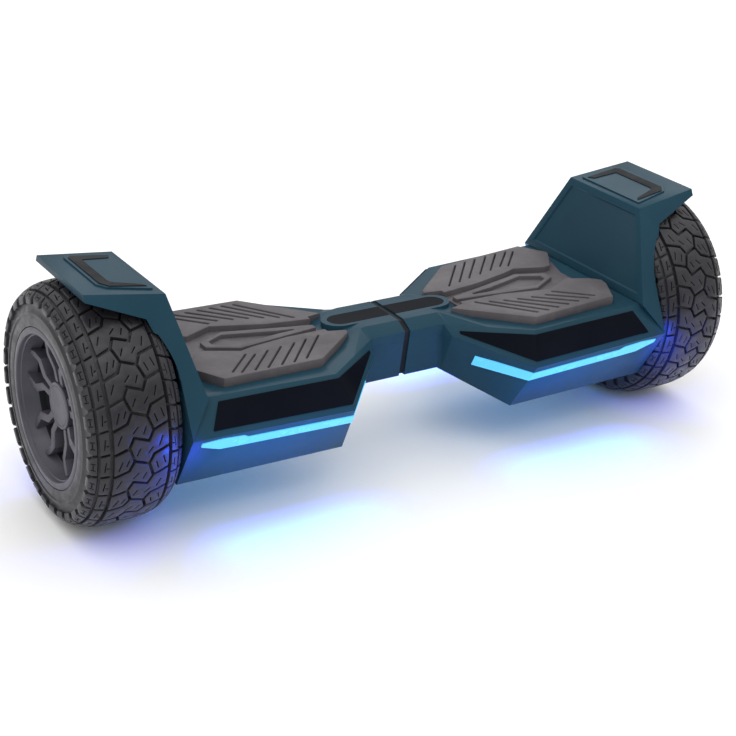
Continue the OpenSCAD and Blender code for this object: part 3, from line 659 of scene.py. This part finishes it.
@dataclass
class Tyre:
    """A wide off-road tyre: a carcass with separate rubber blocks moulded on it."""

    side: Side
    paints: Paintbox
    pitches: int = 16
    depth: float = 4.4
    root: float = 0.7
    groove: float = 1.25
    row_groove: float = 1.0
    row_shift: float = 11.0
    middle_sipe: float = 0.9
    row_sipe: float = 0.8
    block_rounding: float = 0.45
    bends_along: range = range(0, 80, 7)
    bends_across: tuple[int, ...] = (-46, -42, -33, -18, -6, 6, 18, 33, 42, 46)
    shoulder_drop: float = 12.0
    bead_radius: float = 71.2
    bore_radius: float = 66.2
    bead_half: float = 37.0
    line_radius: float = 82.0
    facets: int = 128
    width: float = field(init=False)
    radius: float = field(init=False)
    half_pitch: float = field(init=False)
    centre: Vector = field(init=False)

    def __post_init__(self) -> None:
        """Reads the tyre's place and size from the frame."""
        low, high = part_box(f"{Side.RIGHT.label}_tyre")
        self.centre = (low + high) / 2
        self.width = (high.x - low.x) / MM
        self.radius = (high.z - low.z) / 2 / MM
        self.half_pitch = math.tau * self.radius / self.pitches / 2

    def crown(self, place: float) -> float:
        """The tread's outer radius at a place across the tyre.

        Args:
            place: Millimetres from the tyre's middle.

        Returns:
            The radius, in millimetres.
        """
        return self.radius - self.shoulder_drop * (abs(place) / (self.width / 2)) ** 4

    def section(self) -> list[tuple[float, Point, Point]]:
        """The tread's curved section, from the middle out over one shoulder.

        Returns:
            Distance along it, place and radius, and outward normal of each point.
        """
        half = self.width / 2
        line = [(v, self.crown(v)) for v in [half * i / 24 for i in range(24)]]
        line += [(half - 0.35, self.crown(half) - 0.6), (half - 0.12, self.crown(half) - 3.4),
                 (half - 0.3, self.crown(half) - 7.5)]
        marks = []
        travelled = 0.0
        for i, (v, r) in enumerate(line):
            if i:
                travelled += math.hypot(v - line[i - 1][0], r - line[i - 1][1])
            near, far = line[max(0, i - 1)], line[min(len(line) - 1, i + 1)]
            run = Vector((far[0] - near[0], far[1] - near[1])).normalized()
            marks.append((travelled, (v, r), (-run.y, run.x)))
        return marks

    def wrap(self, verts: Iterable[BMVert]) -> None:
        """Lays flat blocks onto the tyre.

        Args:
            verts: Their vertices: along the tread, across it and height below its surface, in millimetres.
        """
        marks = self.section()
        for vert in verts:
            along, across, height = vert.co
            sign = 1.0 if across >= 0 else -1.0
            reach = min(abs(across), marks[-1][0] - 1e-4)
            index = max(i for i, mark in enumerate(marks[:-1]) if mark[0] <= reach)
            (s0, p0, n0), (s1, p1, n1) = marks[index], marks[index + 1]
            t = (reach - s0) / (s1 - s0)
            v, r = (p0[k] + t * (p1[k] - p0[k]) for k in (0, 1))
            nv, nr = (n0[k] + t * (n1[k] - n0[k]) for k in (0, 1))
            angle = along / self.radius
            radius = (r + height * nr) * MM
            vert.co = self.centre + Vector((sign * (v + height * nv) * MM, math.sin(angle) * radius,
                                            math.cos(angle) * radius))

    def cross_line(self, index: int) -> list[Point]:
        """One kinked groove across the middle of the tread.

        Args:
            index: Which groove, counted along the tread.

        Returns:
            Its points, from one side of the middle to the other.
        """
        x = index * self.half_pitch
        return [(x, 25.5), (x + 5.0, 11.5), (x + 13.5, 7.0), (x + 8.5, -6.0), (x + 17.0, -10.5), (x + 22.0, -25.5)]

    def middle_blocks(self) -> list[tuple[list[Point], list[list[Point]]]]:
        """The interlocking blocks of one pitch.

        Returns:
            Each block's plan and the plans of its sipes.
        """
        a, b, c = (self.cross_line(i) for i in (0, 1, 2))
        first = [a[0], a[1], a[2], a[3], a[4], b[3], b[2], b[1], b[0]]
        second = [a[4], a[5], b[5], b[4], b[3]]
        third = [b[2], b[3], b[4], b[5], c[5], c[4], c[3], c[2], c[1]]
        fourth = [b[0], b[1], b[2], c[1], c[0]]
        sipes = (
            [((10.0, 21.0), (17.0, 17.5)), ((17.5, 7.5), (22.0, 3.0)), ((15.5, -1.5), (21.0, -4.0))],
            [((23.5, -14.5), (30.0, -12.5)), ((26.5, -21.0), (33.5, -19.0))],
            [((39.5, 5.0), (45.0, 2.0)), ((40.0, -5.0), (44.5, -9.0)), ((45.0, -15.0), (52.5, -18.0))],
            [((28.0, 20.5), (36.0, 17.5)), ((31.5, 14.0), (36.5, 11.8))],
        )
        return [(shrunk(plan, self.groove), [slot_plan(p, q, self.middle_sipe) for p, q in lines])
                for plan, lines in zip((first, second, third, fourth), sipes)]

    def row_blocks(self) -> list[tuple[list[Point], list[list[Point]]]]:
        """The two rows of ribs that flank the middle on both sides, for one pitch.

        Returns:
            Each block's plan and the plans of its sipes.
        """
        step = self.half_pitch
        made = []
        for index in range(2):
            x = index * step
            inner = [(x + 2.5, 26.6), (x + step + 2.5, 26.6), (x + step, 36.6), (x, 36.6)]
            inner_sipes = [((x + 7.0, 32.0), (x + 15.5, 31.0)), ((x + 10.5, 28.6), (x + 10.0, 30.0))]
            outer = [(x + 1.0, 37.2), (x + step + 1.0, 37.2), (x + step - 1.0, 43.5), (x + step - 3.4, 46.2),
                     (x + step - 3.4, 51.5), (x + 3.6, 51.5), (x + 1.4, 46.0), (x, 43.5)]
            outer_sipes = [((x + 7.0, 40.0), (x + 7.0, 43.6)), ((x + 13.5, 40.0), (x + 13.5, 43.6)),
                           ((x + 8.2, 41.8), (x + 12.3, 41.8))]
            made += [(shrunk(plan, self.row_groove), [slot_plan(p, q, self.row_sipe) for p, q in sipes])
                     for plan, sipes in ((inner, inner_sipes), (outer, outer_sipes))]
        return made

    def blocks(self, bm: BMesh) -> None:
        """Adds every tread block.

        Args:
            bm: The mesh to add to.
        """
        part = bmesh.new()
        low = -self.depth - self.root
        for plan, sipes in self.middle_blocks():
            raised_shape(part, plan, low, 0.0, self.block_rounding, sipes)
        for plan, sipes in self.row_blocks():
            raised_shape(part, plan, low, 0.0, self.block_rounding, sipes)
            raised_shape(part, self.turned(plan), low, 0.0, self.block_rounding, [self.turned(s) for s in sipes])
        for place in self.bends_along:
            self.cut(part, (float(place), 0.0, 0.0), (1.0, 0.0, 0.0))
        for place in self.bends_across:
            self.cut(part, (0.0, float(place), 0.0), (0.0, 1.0, 0.0))
        self.wrap(part.verts)
        bmesh.ops.reverse_faces(part, faces=part.faces)
        copies = self.pitches - 1
        bmesh.ops.spin(part, geom=part.verts[:] + part.edges[:] + part.faces[:], cent=self.centre,
                       axis=(1.0, 0.0, 0.0), dvec=(0.0, 0.0, 0.0), angle=-math.tau * copies / self.pitches,
                       steps=copies, use_merge=False, use_duplicate=True)
        take_in(bm, part)

    def turned(self, plan: Sequence[Point]) -> list[Point]:
        """A plan carried to the tread's other side, and moved along it."""
        return [(x + self.row_shift, -y) for x, y in reversed(plan)]

    @staticmethod
    def cut(bm: BMesh, place: tuple[float, float, float], normal: tuple[float, float, float]) -> None:
        """Scores the blocks along a plane, so that they can bend there.

        Args:
            bm: The blocks.
            place: A point of the plane.
            normal: Its normal.
        """
        bmesh.ops.bisect_plane(bm, geom=bm.verts[:] + bm.edges[:] + bm.faces[:], dist=1e-5, plane_co=place,
                               plane_no=normal, clear_inner=False, clear_outer=False)

    def carcass(self) -> list[Point]:
        """The tyre's section without its blocks.

        Returns:
            Place across the tyre and radius, in order round the section.
        """
        half = self.width / 2
        floor = [(v, self.crown(v) - self.depth) for v in (-34, -26, -17, -8, 0, 8, 17, 26, 34)]
        wall = [(38.6, self.crown(38.6) - self.depth), (half - 3.2, 92.6), (half - 2.4, 88.0), (half - 1.6, 85.2),
                (half - 0.5, self.line_radius + 1.6), (half - 0.15, self.line_radius + 0.5),
                (half - 0.15, self.line_radius - 0.5), (half - 1.0, self.line_radius - 1.4),
                (half - 0.55, self.line_radius - 4.5), (half - 0.5, 74.0), (half - 0.9, self.bead_radius),
                (self.bead_half, self.bead_radius), (self.bead_half, self.bore_radius)]
        return floor + wall + [(-v, r) for v, r in reversed(wall)]

    def build(self) -> None:
        """Makes the tyre and puts it in its node's place."""
        bm = bmesh.new()
        spun(bm, self.carcass(), self.centre, self.facets)
        self.blocks(bm)
        mirrored(bm, self.side)
        label = self.side.label
        add_piece(f"{label}_tyre_rubber", bm, f"{label}_wheel", "tyre_rubber", self.paints, [f"{label}_tyre"],
                  crease=30.0)


@dataclass
class Rim:
    """A cast hub-motor rim with a deep dish and forked spokes."""

    side: Side
    paints: Paintbox
    spokes: int = 5
    spoke_rise: float = 11.0
    spoke_climb: float = 5.0
    spoke_root: float = 0.5
    spoke_rounding: float = 0.7
    web_drop: float = 3.0
    facets: int = 128
    lip_radius: float = 70.9
    barrel_radius: float = 65.9
    mouth_radius: float = 65.0
    dish_radius: float = 56.6
    dish_floor: float = 16.5
    boss_radius: float = 22.0
    boss_top: float = 24.0
    cover_radius: float = 63.2
    cover_seat: float = 32.9
    motor_radius: float = 57.7
    motor_end: float = 14.0
    bearing_radius: float = 16.2
    bead_half: float = 37.1
    lip_half: float = 41.4
    liner_skin: float = 0.5

    def section(self) -> list[Point]:
        """The rim's section, with its lips rounded.

        Returns:
            Place along the axle from the wheel's middle and radius, in order.
        """
        lip = self.lip_half
        return [
            (-self.cover_seat, self.motor_radius), (self.motor_end, self.motor_radius),
            (self.motor_end, self.bearing_radius), (self.boss_top, self.bearing_radius),
            (self.boss_top, self.boss_radius - 0.8), (self.boss_top - 0.8, self.boss_radius),
            (self.dish_floor + 1.5, self.boss_radius), (self.dish_floor, self.boss_radius + 1.5),
            (self.dish_floor, self.dish_radius - 3.0), (self.dish_floor + 0.9, self.dish_radius - 0.9),
            (self.dish_floor + 3.0, self.dish_radius + 0.6), (lip - 5.2, 62.6), (lip - 4.2, 62.9),
            (lip - 3.6, 63.8), (lip - 0.8, self.mouth_radius - 0.3), (lip - 0.1, self.mouth_radius + 0.5),
            (lip, self.mouth_radius + 1.4), (lip, 69.2), (lip - 0.3, 70.3), (lip - 1.0, self.lip_radius),
            (self.bead_half, self.lip_radius), (self.bead_half, self.barrel_radius),
            (-self.bead_half, self.barrel_radius), (-self.bead_half, self.lip_radius), (-lip + 0.6, self.lip_radius),
            (-lip, 70.2), (-lip, self.cover_radius + 1.0), (-lip + 0.8, self.cover_radius),
            (-self.cover_seat, self.cover_radius),
        ]

    @staticmethod
    def prong() -> list[Point]:
        """One prong of a forked spoke, drawn outwards along Y.

        Returns:
            Its corners, anticlockwise.
        """
        return [(1.6, 20.4), (8.2, 20.4), (8.8, 30.5), (19.0, 41.0), (18.8, 51.0), (16.8, 58.0), (11.6, 59.2),
                (13.0, 45.0), (3.2, 35.0)]

    def build(self) -> None:
        """Makes the rim and its hub cap."""
        low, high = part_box(f"{Side.RIGHT.label}_tyre")
        centre = (low + high) / 2
        label = self.side.label
        bm = bmesh.new()
        spun(bm, self.section(), centre, self.facets)
        web = [(-3.4, 20.8), (3.4, 20.8), (3.0, 26.5), (-3.0, 26.5)]
        for index in range(self.spokes):
            for plan in (self.prong(), [(-x, y) for x, y in reversed(self.prong())], web):
                top = self.dish_floor + self.spoke_rise - (self.web_drop if plan is web else 0.0)
                verts = raised_shape(bm, plan, self.dish_floor - self.spoke_root, top, self.spoke_rounding)
                self.slope(verts)
                self.stand_up(verts, centre, math.tau * index / self.spokes)
        mirrored(bm, self.side)
        add_piece(f"{label}_rim_casting", bm, f"{label}_wheel", "rim_grey", self.paints, [f"{label}_rim"],
                  crease=28.0)
        # Painted shade: a matte black sheet laid in the dish between the spokes.
        self.backing(centre)
        self.cap(centre)

    def backing(self, centre: Vector) -> None:
        """Makes the black sheet between the spokes: painted shade in the dish, and partly the dark motor cover that
        shows behind the spokes.

        Args:
            centre: The wheel's middle.
        """
        label = self.side.label
        low, high = self.dish_floor - 0.3, self.dish_floor + 0.4
        knee, edge = self.dish_floor + 2.5, self.dish_floor + 12.0
        inner, outer = self.boss_radius + 0.6, self.dish_radius + 0.4
        bm = bmesh.new()
        spun(bm, [(low, inner), (low, outer - 3.0), (knee, outer + 0.4), (edge, outer + 4.5),
                  (edge, outer + 4.1 - self.liner_skin), (knee, outer - self.liner_skin),
                  (high, outer - 3.4), (high, inner)], centre, self.facets)
        mirrored(bm, self.side)
        add_piece(f"{label}_rim_backing", bm, f"{label}_wheel", "matte_black", self.paints, crease=28.0)

    def slope(self, verts: Iterable[BMVert]) -> None:
        """Lets the spokes climb towards the rim.

        Args:
            verts: Their vertices, in the plan's axes.
        """
        for vert in verts:
            if vert.co.z > self.dish_floor + 1:
                share = max(0.0, (vert.co.y - self.boss_radius) / (self.dish_radius - self.boss_radius))
                vert.co.z += self.spoke_climb * share

    @staticmethod
    def stand_up(verts: Sequence[BMVert], centre: Vector, angle: float) -> None:
        """Turns a plan in millimetres to face along the axle, in metres.

        Args:
            verts: The vertices to move.
            centre: The wheel's middle.
            angle: How far round the axle, in radians.
        """
        turn = Matrix.Rotation(angle, 3, "X")
        for vert in verts:
            x, y, z = vert.co
            vert.co = centre + turn @ Vector((z, x, y)) * MM

    def cap(self, centre: Vector) -> None:
        """Makes the hub cap with its chamfer and a fine turned line.

        Args:
            centre: The wheel's middle.
        """
        label = self.side.label
        low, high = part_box(f"{Side.RIGHT.label}_hub_cap")
        inner, outer = ((x - centre.x) / MM for x in (low.x, high.x))
        radius = (high.z - low.z) / 2 / MM
        bm = bmesh.new()
        spun(bm, [(inner, 0.4), (inner, radius), (outer - 1.0, radius), (outer - 0.3, radius - 0.4),
                  (outer, radius - 1.2), (outer, radius - 3.0), (outer - 0.35, radius - 3.3),
                  (outer, radius - 3.6), (outer, 0.4)], centre, self.facets)
        mirrored(bm, self.side)
        add_piece(f"{label}_hub_disc", bm, f"{label}_wheel", "rim_grey", self.paints, [f"{label}_hub_cap"],
                  crease=28.0)


# ---------------------------------------------------------------------- pads


@dataclass
class FootPad:
    """A moulded rubber mat: a floor with two slotted lobes and a leaf-shaped ring."""

    side: Side
    paints: Paintbox
    floor_top: float = 2.3
    lobe_top: float = 8.0
    ring_top: float = 6.2
    rounding: float = 0.9
    thin_slot: float = 1.7
    wide_slot: float = 3.5
    bend_x: float = 109.0
    deck_height: float = 130.0
    tilt: float = 2.0
    low: float = -0.7
    foot_radius: float = 3.7
    foot_depth: float = 6.0
    foot_places: tuple[float, float] = (129.0, 197.0)
    foot_spread: float = 40.0
    foot_facets: int = 24

    def outline(self) -> list[Point]:
        """The mat's plan.

        Returns:
            Its corners, anticlockwise.
        """
        return [(118, -79), (214, -76), (229, -48), (231, -38), (222, -28), (216, -8), (216, 8), (222, 26),
                (229, 48), (212, 77), (112, 71), (60, 28), (58, 22), (76, 18), (76, -18), (60, -22)]

    def back_lobe(self) -> list[Point]:
        """The rear lobe's plan.

        Returns:
            Its corners, anticlockwise.
        """
        return [(76, 13), (118, 16.4), (158, 24.6), (171, 29), (201, 16.8), (209, 18), (222, 36), (229, 48),
                (212, 77), (112, 71), (60, 28), (58, 22), (75.4, 18.2)]

    def front_lobe(self) -> list[Point]:
        """The front lobe's plan.

        Returns:
            Its corners, anticlockwise.
        """
        return [(118, -79), (214, -76), (229, -48), (231, -38), (222, -28), (201, -17), (172, -31), (157, -27),
                (121, -17), (76, -13), (75.4, -18.2), (60, -22)]

    def thin_slots(self) -> list[list[Point]]:
        """The fine slots of the rear lobe.

        Returns:
            Each slot's plan.
        """
        starts = [(89, 24), (104, 27.5), (118, 31), (133.5, 34), (148.5, 37), (163, 40.5), (171, 37.5)]
        ends = [(125, 65), (139, 68), (152, 69), (166, 70), (179, 70.5), (192, 70.5), (199, 67)]
        return [slot_plan(p, q, self.thin_slot) for p, q in zip(starts, ends)]

    def wide_slots(self) -> list[list[Point]]:
        """The broad slots of the front lobe.

        Returns:
            Each slot's plan.
        """
        starts = [(89, -22), (102, -27.5), (116, -32), (130, -35.8), (144.5, -38.8), (159.5, -41), (170, -37.5)]
        ends = [(126, -69.5), (138, -70.5), (150.5, -70), (163.5, -69), (176.5, -68), (189.5, -67), (199, -65)]
        return [slot_plan(p, q, self.wide_slot) for p, q in zip(starts, ends)]

    def relief(self, bm: BMesh) -> None:
        """Adds the floor, the lobes, the ring and the feet.

        Args:
            bm: The mesh to add to, in millimetres.
        """
        raised_shape(bm, shrunk(self.outline(), 0.15), self.low, self.floor_top, 0.5)
        raised_shape(bm, self.back_lobe(), self.low + 0.1, self.lobe_top, self.rounding, self.thin_slots())
        raised_shape(bm, self.front_lobe(), self.low + 0.1, self.lobe_top, self.rounding, self.wide_slots())
        ring = [(79, -3.5), (165.5, -19.5), (194.5, -4), (194.5, 7.5), (166, 19.8), (79, 3.2)]
        recess = [(101, -1.2), (125, -4.2), (169, -13), (186, -3.6), (186, 3.6), (167, 13.6), (125, 4.2), (101, 1.2)]
        raised_shape(bm, ring, self.floor_top - 0.4, self.ring_top, self.rounding, [recess])
        for x in self.foot_places:
            for y in (-self.foot_spread, self.foot_spread):
                foot = [(x + self.foot_radius * math.cos(a), y + self.foot_radius * math.sin(a))
                        for a in (math.tau * i / self.foot_facets for i in range(self.foot_facets))]
                raised_shape(bm, foot, self.low - self.foot_depth, self.low + 0.1, 0.0)

    def on_deck(self, bm: BMesh) -> None:
        """Lays the mat on the deck's slope, in metres.

        Args:
            bm: The mat, in millimetres.
        """
        bmesh.ops.translate(bm, vec=(-self.bend_x, 0.0, 0.0), verts=bm.verts)
        bmesh.ops.rotate(bm, cent=(0.0, 0.0, 0.0), matrix=Matrix.Rotation(-math.radians(self.tilt), 3, "Y"),
                         verts=bm.verts)
        bmesh.ops.translate(bm, vec=(self.bend_x, 0.0, self.deck_height), verts=bm.verts)
        bmesh.ops.scale(bm, vec=(MM, MM, MM), verts=bm.verts)

    def build(self) -> None:
        """Makes the mat; the left one is the right one turned by half a turn."""
        bm = bmesh.new()
        self.relief(bm)
        self.on_deck(bm)
        if self.side is Side.LEFT:
            bmesh.ops.rotate(bm, cent=(0.0, 0.0, 0.0), matrix=Matrix.Rotation(math.pi, 3, "Z"), verts=bm.verts)
        label = self.side.label
        add_piece(f"{label}_foot_mat", bm, f"{label}_pad", "pad_rubber", self.paints, [f"{label}_foot_pad"],
                  crease=30.0)


# --------------------------------------------------------------------- shells


@dataclass
class Mouldings:
    """The CAD's own shells and plates, with the rounded edges that moulding gives them."""

    side: Side
    paints: Paintbox
    roundings: dict[str, float] = field(default_factory=lambda: {
        "upper_shell": 1.0, "lower_shell": 1.0, "wheel_guard": 1.1, "front_panel": 0.5, "rear_panel": 0.5,
        "deck_inlay": 0.35, "guard_inlay": 0.35, "front_light": 0.35, "rear_light": 0.35,
    })
    least_bend: float = 18.0
    sunk: str = "wheel_guard"
    sunk_facing: tuple[float, float, float] = (-1.0, 0.0, 0.35)
    sunk_border: float = 7.0
    sunk_depth: float = 1.6
    sunk_share: float = 0.4

    def sink(self, bm: BMesh) -> None:
        """Sinks the middle of the guard's inner wall, which leaves a raised rim round it.

        Args:
            bm: The guard's mesh.
        """
        x, y, z = self.sunk_facing
        facing = Vector((x * self.side.value, y, z)).normalized()
        least = self.sunk_share * max(f.calc_area() for f in bm.faces if f.normal.dot(facing) > 0.5)
        broad = [f for f in bm.faces if f.normal.dot(facing) > 0.5 and f.calc_area() > least]
        for width, down in ((self.sunk_border, 0.0), (self.sunk_depth, self.sunk_depth)):
            bmesh.ops.inset_region(bm, faces=broad, thickness=width * MM, depth=-down * MM, use_boundary=True,
                                   use_even_offset=True)

    def build(self) -> None:
        """Makes a rounded copy of each node that shows."""
        label = self.side.label
        for stem, radius in self.roundings.items():
            node = f"{label}_{stem}"
            bm = merged_copy(node)
            if stem == self.sunk:
                self.sink(bm)
            round_edges(bm, sharp_edges(bm, self.least_bend), radius)
            add_piece(f"{node}_moulding", bm, f"{label}_half", NODE_SLOTS[node], self.paints, [node], crease=24.0)


# ---------------------------------------------------------------------- stage


@dataclass
class Studio:
    """Floor, daylight, soft lamps, the glow of the strips and the camera, in metres."""

    lens: float = 79.65
    place: tuple[float, float, float] = (-0.79194, -1.18217, 0.72901)
    forward: tuple[float, float, float] = (0.49807, 0.76005, -0.41744)
    right: tuple[float, float, float] = (0.84709, -0.52937, 0.04685)
    floor_half: float = 9.0
    sky: float = 1.36
    horizon: float = 0.20

    def camera(self) -> None:
        """Sets the camera where the object was seen from."""
        data = bpy.data.cameras.new("camera")
        data.lens = self.lens
        data.sensor_width = 36.0
        data.clip_end = 60.0
        obj = bpy.data.objects.new("camera", data)
        bpy.context.scene.collection.objects.link(obj)
        forward, right = Vector(self.forward).normalized(), Vector(self.right).normalized()
        up = right.cross(forward).normalized()
        turn = Matrix((right, up, -forward)).transposed().to_4x4()
        obj.matrix_world = Matrix.Translation(self.place) @ turn
        bpy.context.scene.camera = obj

    def floor(self) -> None:
        """Lays a plain white floor."""
        bm = bmesh.new()
        bmesh.ops.create_grid(bm, x_segments=2, y_segments=2, size=self.floor_half)
        mesh = bpy.data.meshes.new("floor")
        bm.to_mesh(mesh)
        bm.free()
        obj = bpy.data.objects.new("floor", mesh)
        bpy.context.scene.collection.objects.link(obj)
        graph = Graph("studio_floor")
        graph.set(Base_Color=(0.93, 0.93, 0.935), Roughness=0.55, IOR=1.2)
        mesh.materials.append(graph.material)

    def daylight(self) -> None:
        """Lights the room evenly, more from above."""
        world = bpy.data.worlds.new("studio")
        world.use_nodes = True
        tree = world.node_tree
        back = tree.nodes["Background"]
        place = tree.nodes.new("ShaderNodeTexCoord")
        split = tree.nodes.new("ShaderNodeSeparateXYZ")
        ramp = tree.nodes.new("ShaderNodeMapRange")
        for key, value in zip(("From Min", "From Max", "To Min", "To Max"), (0.0, 0.8, self.horizon, self.sky)):
            ramp.inputs[key].default_value = value
        tree.links.new(place.outputs["Generated"], split.inputs["Vector"])
        tree.links.new(split.outputs["Z"], ramp.inputs["Value"])
        seen = tree.nodes.new("ShaderNodeLightPath")
        pale = tree.nodes.new("ShaderNodeMix")
        lit, plain = (pale.inputs[index] for index in MIX_NUMBERS)
        plain.default_value = 1.0
        tree.links.new(seen.outputs["Is Camera Ray"], pale.inputs[0])
        tree.links.new(ramp.outputs["Result"], lit)
        tree.links.new(pale.outputs[0], back.inputs["Strength"])
        back.inputs["Color"].default_value = (1.0, 1.0, 1.0, 1.0)
        bpy.context.scene.world = world

    @staticmethod
    def lamp(name: str, place: Sequence[float], target: Sequence[float], size: Sequence[float], power: float,
             colour: Colour = (1.0, 1.0, 1.0), spread: float = 180.0) -> None:
        """Hangs one soft rectangular lamp.

        Args:
            name: Its name.
            place: Where it hangs.
            target: What it points at.
            size: Its width and height, in metres.
            power: Its power, in watts.
            colour: Its colour.
            spread: How widely it shines, in degrees.
        """
        data = bpy.data.lights.new(name, "AREA")
        data.spread = math.radians(spread)
        data.shape = "RECTANGLE"
        data.size, data.size_y = size
        data.energy = power
        data.color = colour
        obj = bpy.data.objects.new(name, data)
        bpy.context.scene.collection.objects.link(obj)
        obj.location = place
        obj.visible_camera = False
        obj.rotation_mode = "QUATERNION"
        obj.rotation_quaternion = (Vector(target) - Vector(place)).to_track_quat("-Z", "Y")

    def lamps(self) -> None:
        """Hangs the soft lamps and the blue glow of each lit strip."""
        self.lamp("key", (-0.6, -0.9, 2.4), (0.0, 0.0, 0.1), (2.4, 1.6), 11.0)
        self.lamp("rim", (1.2, 1.8, 1.6), (0.0, 0.0, 0.12), (2.0, 1.0), 9.0)
        self.lamp("fill", (-2.4, -1.2, 0.8), (0.0, 0.0, 0.1), (1.2, 1.2), 4.0)
        for side in Side:
            s = side.value
            for front in (-1, 1):
                self.lamp(f"glow_{side.label}_{front}", (s * 0.155, front * 0.112, 0.046),
                          (s * 0.155, front * 0.122, 0.0), (0.15, 0.008), 0.11, (0.0, 0.09, 1.0), 110.0)
                self.lamp(f"wash_{side.label}_{front}", (s * 0.165, front * 0.150, 0.066),
                          (s * 0.165, front * 0.09, 0.078), (0.17, 0.02), 0.085, (0.0, 0.38, 1.0), 120.0)
                self.lamp(f"spill_{side.label}_{front}", (s * 0.252, front * 0.130, 0.088),
                          (s * 0.283, front * 0.094, 0.080), (0.03, 0.03), 0.055, (0.004, 0.05, 1.0), 120.0)

    def build(self) -> None:
        """Sets up the whole studio."""
        bpy.context.scene.view_settings.view_transform = "Standard"
        self.camera()
        self.floor()
        self.daylight()
        self.lamps()


# ----------------------------------------------------------------------- main


def main() -> None:
    """Builds the pieces in order."""
    logging.basicConfig(level=logging.INFO, format="%(name)s %(message)s", stream=sys.stdout)
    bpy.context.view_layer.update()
    paints = Paintbox(FINISHES)
    paints.dress_nodes()
    for side in Side:
        Mouldings(side, paints).build()
        Tyre(side, paints).build()
        Rim(side, paints).build()
        FootPad(side, paints).build()
    Studio().build()


if __name__ == "__main__":
    main()
